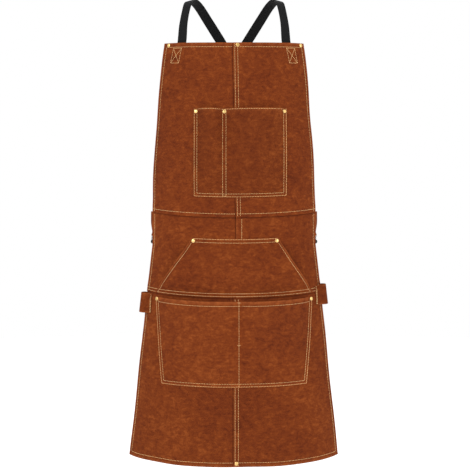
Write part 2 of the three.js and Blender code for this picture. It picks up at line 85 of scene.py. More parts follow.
class Socket:
    """A node's output with the operators that shader maths uses, so a pattern reads as a formula."""

    def __init__(self, tree, output=None):
        self.tree = tree
        self.output = output

    def node(self, kind, settings=(), inputs=(), output=0):
        """Adds a node with its settings, then its sockets' values or links, and gives one output."""
        made = self.tree.nodes.new("ShaderNode" + kind)
        for name, value in dict(settings).items():
            if name == "stops":
                ramp = made.color_ramp
                while len(ramp.elements) < len(value):
                    ramp.elements.new(0.5)
                for element, (place, colour) in zip(ramp.elements, value):
                    element.position = place
                    element.color = (*colour, 1)
            else:
                setattr(made, name, value)
        for key, value in dict(inputs).items():
            if isinstance(value, Socket):
                self.tree.links.new(value.output, made.inputs[key])
            else:
                made.inputs[key].default_value = value
        return Socket(self.tree, made.outputs[output])

    def math(self, operation, *values):
        return self.node("Math", {"operation": operation}, enumerate(values))

    def __add__(self, other):
        return self.math("ADD", self, other)

    def __sub__(self, other):
        return self.math("SUBTRACT", self, other)

    def __rsub__(self, other):
        return self.math("SUBTRACT", other, self)

    def __mul__(self, other):
        return self.math("MULTIPLY", self, other)

    def __truediv__(self, other):
        return self.math("DIVIDE", self, other)

    def __pow__(self, other):
        return self.math("POWER", self, other)

    __radd__ = __add__
    __rmul__ = __mul__

    def between(self, low, high):
        """0 below one value and 1 above another, with an eased step between them."""
        settings = {"interpolation_type": "SMOOTHSTEP"}
        return self.node("MapRange", settings, {"Value": self, "From Min": low, "From Max": high})

    def tint(self, first, second):
        """The first colour where this is 0 and the second where it is 1."""
        return self.node("Mix", {"data_type": "RGBA"}, {0: self, 6: first, 7: second}, 2)

    def place(self):
        """Where a point lies on the object, in metres."""
        return self.node("TexCoord", output="Object")

    def times(self, vector):
        """This vector, stretched by another's three numbers."""
        return self.node("VectorMath", {"operation": "MULTIPLY"}, {0: self, 1: vector})

    def noise(self, scale, detail, rough=0.5, warp=0.0):
        """Cloudy noise read at this place, with about `scale` clouds to the metre."""
        return self.node("TexNoise", inputs={
            "Vector": self, "Scale": scale, "Detail": detail, "Roughness": rough, "Distortion": warp,
        })

    def bump(self, strength, distance):
        """The surface direction that this height pattern gives."""
        return self.node("Bump", inputs={"Strength": strength, "Distance": distance, "Height": self})


def finish(name, surface):
    """A material whose Principled sockets are what surface(start) gives, as values or links."""
    material = bpy.data.materials.new(name)
    material.use_nodes = True
    tree = material.node_tree
    shader = tree.nodes["Principled BSDF"]
    for key, value in surface(Socket(tree)).items():
        if isinstance(value, Socket):
            tree.links.new(value.output, shader.inputs[key])
        else:
            shader.inputs[key].default_value = value
    return material


def pale_floor(start):
    """A matt, nearly white floor with the faintest cloudiness."""
    return {
        "Base Color": start.place().noise(1.2, 3).tint((0.86, 0.86, 0.86, 1), (0.9, 0.9, 0.9, 1)),
        "Roughness": 0.9,
        "Emission Color": (1, 1, 1, 1),
        "Emission Strength": 0.2,
    }


def put_mesh(name, points, faces, material, uv=None, sharp=0.9, **attributes):
    """An object at the origin from whole arrays of points and faces, shaded smooth below an angle."""
    mesh = bpy.data.meshes.new(name)
    mesh.from_pydata(points.tolist(), [], [face for group in faces for face in group.tolist()])
    if uv is not None:
        corners = np.empty(len(mesh.loops), dtype=np.int32)
        mesh.loops.foreach_get("vertex_index", corners)
        layer = mesh.uv_layers.new(name="flat")
        layer.uv.foreach_set("vector", uv[corners].astype(np.float32).ravel())
    for key, values in attributes.items():
        mesh.attributes.new(key, "FLOAT", "POINT").data.foreach_set("value", values.ravel())
    mesh.materials.append(material)
    mesh.shade_smooth()
    mesh.set_sharp_from_angle(angle=sharp)
    made = bpy.data.objects.new(name, mesh)
    scene.collection.objects.link(made)
    return made


def round_about(count):
    """Even angles round a circle."""
    return np.linspace(0, 2 * np.pi, count, endpoint=False)


def circle(count, first, second):
    """Unit circles of points in the planes of two directions, given for one point or for many."""
    angle = round_about(count)[:, None]
    return np.cos(angle) * first[..., None, :] + np.sin(angle) * second[..., None, :]


def unit(vectors):
    return vectors / np.linalg.norm(vectors, axis=-1, keepdims=True)


up = np.array([0.0, 0.0, 1.0])
floor_level, floor_radius = -1.5, 6
floor_disc = floor_radius * circle(96, np.array([1.0, 0, 0]), np.array([0, 1.0, 0])) + floor_level * up
put_mesh("floor", floor_disc, [np.arange(96)[None]], finish("pale_floor", pale_floor))


# ---------------------------------------------------------------- bib panels

# The bib is two halves of split cowhide with a brown nap, lapped right over left down the centre and
# sewn with two rows. Its top and side edges are folded back once and sewn with tan thread.
leather = 0.0014
hem = 0.012
shoulder_rise = 0.127
waist_seam = 0.442
flare_start = 0.520
apron_length = 1.067
hem_row = 0.011                   # how far in from a folded edge its stitching runs
lap = 0.00075                     # half the step of a lapped seam
lap_width = 0.016
lap_end = 0.034                   # where the lap's step has died away, from its edge
tuck = 0.0005, 0.005              # from and to where hide sinks under the hide that laps over it
row_gap = 0.003                   # how far from a seam a row ends
edge_gap = 0.002                  # how far from an edge a row ends
pull_depth = 0.0005               # how far thread draws the leather in
pull_reach = 0.0014
rub_reach = 0.0045                # how far in from a panel's edge the nap is rubbed
lap_shade_reach = 0.0028               # how far out from a lap the painted shade reaches
chest_height = 0.220
hip_height = 0.760


def smooth(t):
    """An eased step: t squared times three less twice t."""
    return t * t * (3 - 2 * t)


def share(value, start, end):
    """How much of the way from start to end a value is, kept between 0 and 1."""
    return np.clip((value - start) / (end - start), 0, 1)


def mix(a, b, t):
    return a + (b - a) * t


def half_width(down):
    """Half the flat width: it eases out from 193 to 237 mm over the bib, runs straight past the
    waist, and flares evenly to 305 mm at the hem."""
    bib = mix(0.193, 0.237, 1 - (1 - share(down, 0, waist_seam)) ** 1.8)
    return np.where(down < waist_seam, bib, mix(0.237, 0.305, share(down, flare_start, apron_length)))


def forward(down):
    """How far the centre line lies in front of the shoulders: eased steps from height to height."""
    chest = mix(0.095, 0.112, smooth(share(down, 0, chest_height)))
    waist = mix(0.112, 0.099, smooth(share(down, chest_height, waist_seam)))
    skirt = mix(0.099, 0.118, smooth(share(down, waist_seam, hip_height)))
    return np.where(down < chest_height, chest, np.where(down < waist_seam, waist, skirt))


def turn_at(reach, down):
    """The angle that the leather has turned through at a distance from the centre line: half the
    side edge's angle times t plus t cubed, where t is the share of the half width."""
    t = np.minimum(1, reach / half_width(down))
    side_turn = mix(0.8, 1.0, smooth(share(down, 0, chest_height)))
    return side_turn * (t + t**3) / 2


def lift(reach, down):
    """How far the straps draw a point up: most at the side edges and level with the waist."""
    t = np.minimum(1.1, reach / half_width(down))
    above = mix(0.008, 0.016, smooth(share(down, 0, waist_seam)))
    below = mix(0.016, 0.009, smooth(share(down, waist_seam, apron_length)))
    return np.where(down < waist_seam, above, below) * t * t


def drape(across, down, out=0.0):
    """A point of the draped leather: the turn angle's cosine and sine, summed over the distance from
    the centre line, give the plan, and `out` stands off square to it."""
    across, down, out = np.broadcast_arrays(*(np.asarray(v, float) for v in (across, down, out)))
    reach = np.abs(across)
    steps = (np.arange(24) + 0.5) / 24
    turns = turn_at(reach[..., None] * steps, down[..., None])
    turn = turn_at(reach, down)
    x = np.cos(turns).mean(-1) * reach + out * np.sin(turn)
    y = np.sin(turns).mean(-1) * reach - forward(down) - out * np.cos(turn)
    return np.stack([np.where(across < 0, -x, x), y, lift(reach, down) - shoulder_rise - down], -1)


def slack(across, down):
    """Slack in the hide: upright flutes that grow towards the hem and fade at its side edges, and
    shallow hollows above them, which die away near the straps' ends and the hardware at the waist."""
    flutes = np.sin(27 * across + 3.5 * down + 0.6) + 0.5 * np.sin(49 * across - 2.2 * down - 1.2)
    hollows = np.sin(13 * across + 12 * down) * np.sin(15 * down - 9 * across + 0.7)
    hardware = smooth(share(np.abs(across), 0.15, 0.2)) * (1 - smooth(share(np.abs(down - 0.54), 0.1, 0.2)))
    edges = 1 - 0.75 * smooth(share(np.abs(across), 0.19, 0.28))
    sag = 0.0022 * smooth(share(down, 0.66, apron_length)) * flutes * edges
    sag = sag + 0.0016 * smooth(share(down, 0.06, 0.2)) * hollows
    return sag * (1 - hardware)


def spread(left, right, marks_left, marks_right, cells):
    """Places from one edge to another: fixed distances in from either edge, and even steps between."""
    start = np.asarray(left)[..., None] + np.asarray(marks_left)
    end = np.asarray(right)[..., None] - np.asarray(marks_right)[::-1]
    even = np.linspace(0, 1, cells + 1)[1:-1]
    between = start[..., -1:] + (end[..., :1] - start[..., -1:]) * even
    return np.concatenate([start, between, end], -1)


def rolled(distance, radius):
    """How far a folded edge turns back at a distance in from it: a quarter round of that radius."""
    inward = np.clip(1 - distance / radius, 0, 1)
    return 0.9 * radius * (1 - np.sqrt(1 - inward**2))


def bell(distance, reach):
    """1 at a place, and fading on either side of it to about a third at its reach."""
    return np.exp(-((distance / reach) ** 2))


def pulled_in(distance, row):
    """How far thread draws the leather in, near its row."""
    return pull_depth * bell(distance - row, pull_reach)


def shell_faces(rows, columns):
    """Quads of a closed sheet: its front and back grids, and the rim that joins them."""
    place = np.arange(rows * columns).reshape(rows, columns)
    behind = place + rows * columns

    def quads(a, b, c, d):
        return np.stack([a, b, c, d], -1).reshape(-1, 4)

    return [
        quads(place[:-1, :-1], place[1:, :-1], place[1:, 1:], place[:-1, 1:]),
        quads(behind[:-1, :-1], behind[:-1, 1:], behind[1:, 1:], behind[1:, :-1]),
        quads(place[0, :-1], place[0, 1:], behind[0, 1:], behind[0, :-1]),
        quads(place[-1, 1:], place[-1, :-1], behind[-1, :-1], behind[-1, 1:]),
        quads(place[:-1, 0], behind[:-1, 0], behind[1:, 0], place[1:, 0]),
        quads(place[1:, -1], behind[1:, -1], behind[:-1, -1], place[:-1, -1]),
    ]


def leather_sheet(name, across, down, front, back, worn, material):
    """A closed sheet of leather between two faces, given as distances out from the draped surface."""
    points = np.stack([drape(across, down, front), drape(across, down, back)])
    flat = np.stack([across, down], -1)
    return put_mesh(
        name,
        points.reshape(-1, 3),
        shell_faces(*across.shape),
        material,
        uv=np.stack([flat, flat]).reshape(-1, 2),
        worn=np.stack([worn, worn * 0.5]),
    )


def suede(tone=1.0, shift=0.0):
    """Brushed split hide: cloudy dye, a short nap that catches the light in patches, a paler rub along
    folds and edges where the wear-and-shade value is above 0, and painted shade beside laps where it is
    below."""
    def surface(start):
        moved_by = {"Vector": start.place(), "Location": (shift, shift, -shift)}
        place = start.node("Mapping", inputs=moved_by)
        cloud = place.noise(5, 4, 0.55, 0.6)
        mottle = place.noise(52, 7, 0.76, 0.8)
        brushed = place.times((0.4, 0.4, 1)).noise(170, 5, 0.75)
        nap = place.noise(650, 3, 0.75)
        worn = start.node("Attribute", {"attribute_name": "worn"}, output="Fac")
        dye = cloud * 0.2 + mottle * 0.44 + brushed * 0.36
        colour = start.node("ValToRGB", {"stops": [
            (0.39, (0.072 * tone, 0.0120 * tone, 0.0036 * tone)),
            (0.465, (0.112 * tone, 0.0205 * tone, 0.0049 * tone)),
            (0.53, (0.146 * tone, 0.0292 * tone, 0.0058 * tone)),
            (0.60, (0.212 * tone, 0.0495 * tone, 0.0102 * tone)),
        ]}, {"Fac": dye})
        speck = nap.between(0.35, 0.7)
        colour = (speck * 0.22).tint(colour, (0.24 * tone, 0.055 * tone, 0.013 * tone, 1))
        rubbed = start.math("MAXIMUM", worn, 0.0) * (0.35 + 0.65 * mottle.between(0.35, 0.6))
        # Painted shade: below 0 the value darkens the dye towards a near-black brown, a painted shadow
        # beside a lap.
        painted_lap_shade = start.math("MAXIMUM", 0.0 - worn, 0.0)
        colour = (rubbed * 0.42).tint(colour, (0.34 * tone, 0.095 * tone, 0.026 * tone, 1))
        colour = (painted_lap_shade * 0.6).tint(colour, (0.040 * tone, 0.0075 * tone, 0.003 * tone, 1))
        height = nap * 0.5 + brushed * 0.8 + mottle * 1.1
        return {
            "Base Color": colour,
            "Roughness": 0.86 + 0.14 * nap,
            "Specular IOR Level": 0.06,
            "Sheen Weight": 0.05,
            "Sheen Roughness": 0.4,
            "Sheen Tint": (1.0, 0.45, 0.2, 1),
            "Normal": height.bump(0.55, 0.0011),
        }
    return surface


hide = finish("brown_suede", suede())

# A panel's columns and rows of points: these distances in from its edges, and even cells between.
cells_across = 26
fold_marks = np.array([0, 0.1, 0.35, 0.8, 1.4, 5, 9, 10, 11, 11.8, 12.2, 13.5, 16]) / 1000
seam_marks = np.array([0, 1.5, 3.5, 5, 6.5, 9.5, 11, 12, 13, 14, 15.5, 16.2, 17, 18.5, 21, 25, 34]) / 1000
edge_marks = np.array([0, 1.5, 4, 5.5, 7, 8.5, 9.5, 11.5, 13, 15.5, 16.2, 17, 18.5, 21, 25, 34]) / 1000


class Panel:
    """One panel of the apron's body, from its centre seam to its folded side edge.

    `front` and `back` give its two faces' distance out from the draped surface at any place, so that
    pockets, stitches and rivets can sit on them.
    """

    def __init__(self, side, seam, top, bottom, cells_down, seam_rows, hem_top=False,
                 hem_bottom=False, tucked=False, laps=False):
        self.side, self.seam, self.top, self.bottom = side, seam, top, bottom
        self.cells_down, self.seam_rows = cells_down, seam_rows
        self.hem_top, self.hem_bottom, self.tucked, self.laps = hem_top, hem_bottom, tucked, laps

    def edges(self, across, down):
        """Distances in from each of the panel's folded edges."""
        found = [half_width(down) - self.side * across]
        if self.hem_top:
            found.append(down - self.top)
        if self.hem_bottom:
            found.append(self.bottom - down)
        return found

    def face(self, across, down):
        """The face before folds and stitches: raised where it laps over a neighbour and sunk where
        it runs under one."""
        beyond = across - self.seam(down)
        if self.side > 0:
            out = lap * (1 - smooth(share(beyond, lap_width, lap_end)))
        else:
            out = -lap * smooth(share(beyond, -tuck[1], -tuck[0]))
        if self.laps:
            out = out + lap * smooth(share(down, self.bottom - lap_end, self.bottom - 0.014))
        if self.tucked:
            out = out - lap * (1 - smooth(share(down, self.top + tuck[0], self.top + tuck[1])))
        return out + slack(across, down)

    def pulls(self, across, down):
        """How far the stitching draws the face in, near a hem or a centre seam."""
        pull = sum(pulled_in(distance, hem_row) for distance in self.edges(across, down))
        if self.side > 0:
            pull = pull + sum(pulled_in(across - self.seam(down), row) for row in self.seam_rows)
        return pull

    def front(self, across, down):
        turned = np.max([rolled(distance, leather) for distance in self.edges(across, down)], 0)
        return self.face(across, down) - turned - self.pulls(across, down)

    def back(self, across, down):
        edges = self.edges(across, down)
        doubled = np.min(edges, 0) < hem
        turned = np.max([rolled(distance, leather) for distance in edges], 0)
        return self.face(across, down) - np.where(doubled, 2, 1) * leather + turned

    def make(self, name, material):
        """The panel as a closed sheet, with closely spaced columns and rows at hems and seams."""
        start = self.top - (lap_width if self.tucked else 0)
        downs = spread(
            start,
            self.bottom,
            fold_marks if self.hem_top else edge_marks,
            fold_marks if self.hem_bottom else edge_marks,
            self.cells_down,
        )
        seam, edge = self.seam(downs), half_width(downs)
        if self.side > 0:
            across = spread(seam, edge, seam_marks, fold_marks, cells_across)
        else:
            across = spread(-edge, seam + lap_width, fold_marks, seam_marks, cells_across)
        down = np.broadcast_to(downs[:, None], across.shape)
        rub = np.min(self.edges(across, down), 0)
        if self.side > 0:
            rub = np.minimum(rub, 0.001 + across - self.seam(down))
        worn = bell(rub, rub_reach)
        # Painted shade: the hide is darkened in a band just out from a lap, where this panel runs under its
        # neighbour, at the centre seam and at a tucked top edge.
        if self.side < 0:
            worn = worn - bell(self.seam(down) - across, lap_shade_reach)
        if self.tucked:
            worn = worn - bell(down - self.top, lap_shade_reach)
        front, back = self.front(across, down), self.back(across, down)
        return leather_sheet(name, across, down, front, back, worn, material)


def thread_finish(colour):
    """Waxed bonded thread: an even colour with a fine twist and a soft shine."""
    def surface(start):
        twist = start.place().noise(1500, 2)
        age = start.place().noise(14, 3)
        dark = tuple(0.72 * c for c in colour)
        return {
            "Base Color": (0.5 * twist + 0.5 * age).between(0.3, 0.65).tint((*dark, 1), (*colour, 1)),
            "Roughness": 0.55,
            "Sheen Weight": 0.15,
            "Normal": twist.bump(0.4, 0.0002),
        }
    return surface


tan_thread = finish("tan_thread", thread_finish((0.80, 0.48, 0.19)))
thread = 0.00105
stitch_pitch = 0.0041
stitch_length = 0.0031


def length_along(points):
    """How far along a line each of its points lies."""
    return np.concatenate([[0], np.cumsum(np.linalg.norm(np.diff(points, axis=0), axis=-1))])


def band_quads(rings, count):
    """Quads between each ring of points and the next, the way round that they are listed."""
    start = count * np.arange(rings - 1)[:, None]
    k = np.arange(count)
    onward = (k + 1) % count
    quads = np.stack([start + k, start + onward, start + count + onward, start + count + k], -1)
    return quads.reshape(-1, 4)


def sew(name, rows, face, facing=1):
    """Rows of lockstitches on a face. Each stitch is a short tube that rises out of the leather and
    dips back: five-sided, thickest half way, along the row's own path."""
    sides = 5
    along = np.array([-1, -0.6, 0.6, 1])
    rise = thread * np.array([-0.35, 0.3, 0.3, -0.35])
    girth = thread / 2 * np.array([0.55, 1, 1, 0.55])
    chunks = []
    for row in rows:
        row = np.asarray(row, float)
        run = length_along(row)
        count = max(1, round(run[-1] / stitch_pitch))
        centres = (np.arange(count) + 0.5) * run[-1] / count
        places = centres[:, None] + along * stitch_length / 2
        flat = [np.interp(places, run, line) for line in row.T]
        seat = face(*flat)
        middle = drape(*flat, seat + facing * rise)
        outward = facing * (drape(*flat, seat + 0.001) - drape(*flat, seat)) / 0.001
        sideways = np.cross(unit(middle[:, -1:] - middle[:, :1]), outward)
        ring = circle(sides, sideways, outward)
        chunks.append(middle[:, :, None] + girth[:, None, None] * ring)
    points = np.concatenate(chunks)
    start = sides * len(along) * np.arange(len(points))[:, None, None]
    k = np.arange(sides)
    walls = (start + band_quads(len(along), sides)).reshape(-1, 4)
    ends = (start + np.stack([k[::-1], sides * (len(along) - 1) + k])).reshape(-1, sides)
    return put_mesh(name, points.reshape(-1, 3), [walls, ends], tan_thread)


def line(start, end, count=24):
    """A straight row between two places on the flat leather."""
    return np.linspace(start, end, count)


def bib_seam(down):
    """The bib's centre seam drifts from 2.5 mm left of the centre line to 5 mm right of it."""
    return mix(-0.0025, 0.005, down / waist_seam)


def declare(piece, nodes, body="apron"):
    """The piece rides on its body and stands for its CAD nodes, which it hides."""
    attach(piece, body)
    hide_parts(*nodes)


def with_thread(piece):
    """Stitching rides with the leather."""
    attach(piece, "apron")
    return piece


def stitched(name, rows, face, rows_behind, face_behind):
    """Rows on a face, and the stitches' other side where they come out behind."""
    return [
        with_thread(sew(name, rows, face)),
        with_thread(sew(f"{name}_behind", rows_behind, face_behind, facing=-1)),
    ]


def side_row(side, top, bottom):
    """The stitching along a side hem between two heights."""
    downs = np.linspace(top, bottom, 60)
    return np.stack([side * (half_width(downs) - hem_row), downs], -1)


def centre_rows(panel, top, bottom):
    """The rows that hold a right panel's lap over the left one, between two heights."""
    downs = np.linspace(top, bottom, 40)
    return [np.stack([panel.seam(downs) + offset, downs], -1) for offset in panel.seam_rows]


def behind(panels):
    """The back of a pair of panels: the left one's as far as its lap runs, and then the right one's."""
    def back(across, down):
        left = across < panels[-1].seam(down) + lap_width
        return np.where(left, panels[-1].back(across, down), panels[1].back(across, down))
    return back


def across_rows(seam, down):
    """Rows across both panels at a height, each from its side edge to the centre seam."""
    ends = [(side * (half_width(down) - edge_gap), seam(down) + side * edge_gap) for side in (-1, 1)]
    return [line((start, down), (end, down), 60) for start, end in ends]


bib = {
    side: Panel(side, bib_seam, 0, waist_seam, 52, (0.004, 0.0115), hem_top=True, laps=True)
    for side in (-1, 1)
}
strap_box = (0.1365, 0.014), (0.1605, 0.014), (0.1690, 0.052), (0.1450, 0.052)
for side, word in SIDES:
    panel = bib[side]
    piece = panel.make(f"bib_leather_{word}", hide)
    beside_seam = panel.seam_rows[0] if side > 0 else -edge_gap
    start, end = bib_seam(hem_row) + beside_seam, side * (half_width(hem_row) - hem_row)
    top_row = line((start, hem_row), (end, hem_row))
    rows = [side_row(side, hem_row, waist_seam - row_gap), top_row]
    a, b, c, d = ((side * across, down) for across, down in strap_box)
    rows += [line(a, b), line(b, c), line(c, d), line(d, a), line(a, c), line(b, d)]
    if side > 0:
        rows += centre_rows(panel, edge_gap, waist_seam - row_gap)
    threads = stitched(f"bib_stitches_{word}", rows, panel.front, rows, behind(bib))
    declare(piece, [f"bib_panel_{word}"])


# ---------------------------------------------------------------- waist panels

# Two panels join the bib to the skirt. The bib laps over their top edge, and their own bottom edge
# laps over the skirt and is held by two rows of stitching.
hip_edge = 0.6445
hip_rows = 0.6335, 0.6405


def waist_centre(down):
    return 0.0055 + 0 * down


waist_hide = finish("brown_suede_waist", suede(0.98, 3.1))
waist = {
    side: Panel(side, waist_centre, waist_seam, hip_edge, 30, (0.0140,), tucked=True, laps=True)
    for side in (-1, 1)
}
for side, word in SIDES:
    panel = waist[side]
    piece = panel.make(f"waist_leather_{word}", waist_hide)
    rows = [side_row(side, waist_seam + row_gap, hip_edge - edge_gap)]
    if side > 0:
        rows += centre_rows(panel, waist_seam + row_gap, hip_edge - row_gap)
    threads = stitched(f"waist_stitches_{word}", rows, panel.front, rows, behind(waist))
    declare(piece, [f"waist_panel_{word}"])
rows = across_rows(bib_seam, waist_seam - 0.009)
with_thread(sew("waist_seam_stitches_left", rows[:1], bib[-1].front))
with_thread(sew("waist_seam_stitches_right", rows[1:], bib[1].front))
with_thread(sew("waist_seam_stitches_behind", rows, behind(waist), facing=-1))


# ---------------------------------------------------------------- skirt panels

# The skirt's two halves flare to the hem, which is folded up behind and sewn with one row. The
# centre seam laps right over left with two rows.
def skirt_centre(down):
    return -0.001 + 0 * down


skirt_hide = finish("brown_suede_skirt", suede(0.97, 7.7))
skirt = {
    side: Panel(
        side, skirt_centre, hip_edge, apron_length, 50, (0.004, 0.0120), hem_bottom=True, tucked=True
    )
    for side in (-1, 1)
}
for side, word in SIDES:
    panel = skirt[side]
    piece = panel.make(f"skirt_leather_{word}", skirt_hide)
    bottom = apron_length - hem_row
    rows = [side_row(side, hip_edge + row_gap, bottom)]
    rows.append(line((side * row_gap, bottom), (side * (half_width(bottom) - hem_row), bottom), 60))
    if side > 0:
        rows += centre_rows(panel, hip_edge + row_gap, apron_length - edge_gap)
    threads = stitched(f"skirt_stitches_{word}", rows, panel.front, rows, behind(skirt))
    declare(piece, [f"skirt_panel_{word}"])
rows = [row for down in hip_rows for row in across_rows(waist_centre, down)]
with_thread(sew("hip_seam_stitches_left", rows[::2], waist[-1].front))
with_thread(sew("hip_seam_stitches_right", rows[1::2], waist[1].front))
with_thread(sew("hip_seam_stitches_behind", rows, behind(skirt), facing=-1))


# ---------------------------------------------------------------- chest pocket

# A patch pocket of the same split hide, sewn on with two rows down its sides and divider and along
# its bottom. Its top edge is folded and sewn, and both compartments stand a little open.
sewn_margin = 0.013
pocket_seat = 0.0007
pocket_rows = 0.002, 0.009        # how far in from its sewn edges a pocket's two rows run
pocket_hem = 0.0135
pocket_rub = 0.004
top_row_start = 0.011             # how far in from the sides a pocket's top row starts
divider_half = 0.0095             # half the width that a divider's fine columns take up


def fullness(position, start, end):
    """How far a compartment stands open between its sewn borders: a half sine to the power 0.8."""
    return np.sin(np.pi * share(position, start, end)) ** 0.8


class PatchPocket:
    """A pocket sewn down its sides, its divider and its bottom, and open at the top.

    `front` is how far its face stands out from the draped surface: the seat, plus the bulge times an
    eased fall from top to bottom and each compartment's half sine across.
    """

    def __init__(self, left, right, top, bottom, divider, bulge, divider_rows, top_inset):
        self.left, self.right, self.top, self.bottom = left, right, top, bottom
        self.divider, self.bulge, self.divider_rows = divider, bulge, divider_rows
        self.top_inset = top_inset

    def opened(self, across, down):
        half = sewn_margin / 2
        first = fullness(across, self.left(down) + sewn_margin, self.divider - half)
        second = fullness(across, self.divider + half, self.right(down) - sewn_margin)
        upright = smooth(1 - share(down, self.top, self.bottom - sewn_margin)) ** 0.5
        slump = 1 + 0.10 * np.sin(42 * across + 9 * down) + 0.08 * np.sin(31 * down - 17 * across)
        return self.bulge * upright * np.where(across < self.divider, first, second) * slump

    def front(self, across, down):
        sides = np.minimum(across - self.left(down), self.right(down) - across)
        edge = np.minimum(sides, self.bottom - down)
        turned = np.maximum(rolled(edge, leather / 2), rolled(down - self.top, leather / 2))
        pull = pulled_in(down - self.top, self.top_inset)
        pull = pull + sum(pulled_in(edge, row) for row in pocket_rows)
        pull = pull + sum(pulled_in(across - self.divider, row) for row in self.divider_rows)
        out = pocket_seat + leather + self.opened(across, down) + slack(across, down)
        return out - turned - pull

    def back(self, across, down):
        hemmed = 1 - smooth(share(down, self.top + pocket_hem - 0.001, self.top + pocket_hem))
        lining = hemmed * np.clip(self.opened(across, down) - 0.0008, 0, leather)
        return pocket_seat + self.opened(across, down) + slack(across, down) - lining

    def make(self, name, material, cells):
        sides = np.array([0, 0.25, 0.7, 1.4, 2, 2.8, 5, 7.5, 9, 10.5, 13]) / 1000
        rows = {round(divider_half + row, 4) for row in self.divider_rows}
        rows = np.array(sorted({0, divider_half, *rows}))
        fine = np.concatenate([rows - pull_reach, rows, rows + pull_reach])
        fine = np.unique(fine.clip(0, 2 * divider_half))[1:-1]
        top_marks = np.array([0, 0.3, 0.8, 1.4, 2.2, 3, 3.8, 6, 9.6, 11.5, 12.4, 13.6, 16]) / 1000
        downs = spread(self.top, self.bottom, top_marks, sides, 34)
        start = self.divider - divider_half + 0 * downs
        left = spread(self.left(downs), start, sides, [0.0], cells[0])
        middle = start[:, None] + fine
        right = spread(start + 2 * divider_half, self.right(downs), [0.0], sides, cells[1])
        across = np.concatenate([left, middle, right], -1)
        down = np.broadcast_to(downs[:, None], across.shape)
        edge = np.minimum(across - self.left(down), self.right(down) - across)
        rub = np.minimum(np.minimum(edge, self.bottom - down), 0.6 * (down - self.top))
        # The hide is also made paler in proportion to how far the pocket stands open, most where it bulges
        # furthest.
        worn = bell(rub, pocket_rub) + 0.1 * self.opened(across, down) / self.bulge
        front, back = self.front(across, down), self.back(across, down)
        return leather_sheet(name, across, down, front, back, worn, material)

    def rows(self):
        """Stitch rows that hold the pocket to the apron, and the row of its folded top edge."""
        found = []
        for inset in pocket_rows:
            downs = np.linspace(self.top + edge_gap, self.bottom - inset, 40)
            found += [
                np.stack([self.left(downs) + inset, downs], -1),
                np.stack([self.right(downs) - inset, downs], -1),
            ]
            bottom = self.bottom - inset
            start, end = self.left(bottom) + inset, self.right(bottom) - inset
            found.append(line((start, bottom), (end, bottom), 60))
        for offset in self.divider_rows:
            across = self.divider + offset
            found.append(line((across, self.top + edge_gap), (across, self.bottom - edge_gap)))
        down = self.top + self.top_inset
        start, end = self.left(down) + top_row_start, self.right(down) - top_row_start
        return found, line((start, down), (end, down), 80)


def constant(value):
    return lambda down: value + 0 * down


def body_back(across, down):
    """The back of the apron's body behind a pocket, whichever panel lies there."""
    out = behind(bib)(across, down)
    for panels in (waist, skirt):
        out = np.where(down > panels[1].top - lap_width, behind(panels)(across, down), out)
    return out


tack_length, tack_height, tack_turns = 0.009, 0.0022, 8


def bar_tack(across, down):
    """A short, close zigzag of thread that takes the strain at the end of a seam."""
    along = np.linspace(-tack_length / 2, tack_length / 2, tack_turns)
    zigzag = tack_height / 2 * (-1.0) ** np.arange(tack_turns)
    return np.stack([across + along, down + zigzag], -1)


chest_hide = finish("brown_suede_chest", suede(0.88, 12.4))
chest_left, chest_right = -0.103, 0.1365
chest = PatchPocket(
    constant(chest_left), constant(chest_right), top=0.168, bottom=0.392,
    divider=-0.024, bulge=0.016, divider_rows=(-0.0045, 0.004), top_inset=0.003,
)
piece = chest.make("chest_pocket_leather", chest_hide, (12, 26))
sewn, top_row = chest.rows()
tacks = [bar_tack(chest.divider, down) for down in (chest.top + 0.0035, chest.bottom - 0.0035)]
rows = [*sewn, top_row, *tacks]
threads = stitched("chest_pocket_stitches", rows, chest.front, sewn, body_back)
declare(piece, ["chest_pocket"])


# ---------------------------------------------------------------- hand pocket

# A wide pouch across the waist, sewn along its top with two rows and into the hip seam. Its two
# slanting sides are folded and sewn, and stay open for the hands.
hand_top, hand_bottom = 0.496, 0.6425
hand_corner = {-1: -0.110, 1: 0.115}
hand_top_rows = 0.002, 0.0105
hand_side_row = 0.0075
hand_bulge = 0.016


def hand_side(side, down):
    """The slanting side: from the top corner out to 36 mm inside the hip's edge, slightly hollow."""
    end = side * (half_width(hand_bottom) - 0.036)
    t = share(down, hand_top, hand_bottom)
    return mix(hand_corner[side], end, mix(t, t * t, 0.45))


def hand_face(across, down):
    """The face before folds and stitches: the seat, and a half-sine belly from seam to seam."""
    open_between = fullness(down, hand_top + sewn_margin, hand_bottom - sewn_margin)
    slump = 1 + 0.08 * np.sin(26 * across + 11 * down) + 0.06 * np.sin(57 * down - 12 * across)
    return pocket_seat + leather + hand_bulge * open_between * slump + slack(across, down)


def hand_front(across, down):
    """The face, turned back at its folded sides and top and drawn in along its rows of stitching."""
    edge = np.minimum(across - hand_side(-1, down), hand_side(1, down) - across)
    turned = np.maximum(rolled(edge, leather / 2), rolled(down - hand_top, leather / 2))
    pull = pulled_in(edge, hand_side_row)
    pull = pull + sum(pulled_in(down - hand_top, row) for row in hand_top_rows)
    pull = pull + sum(pulled_in(down, row) for row in hip_rows)
    return hand_face(across, down) - turned - pull


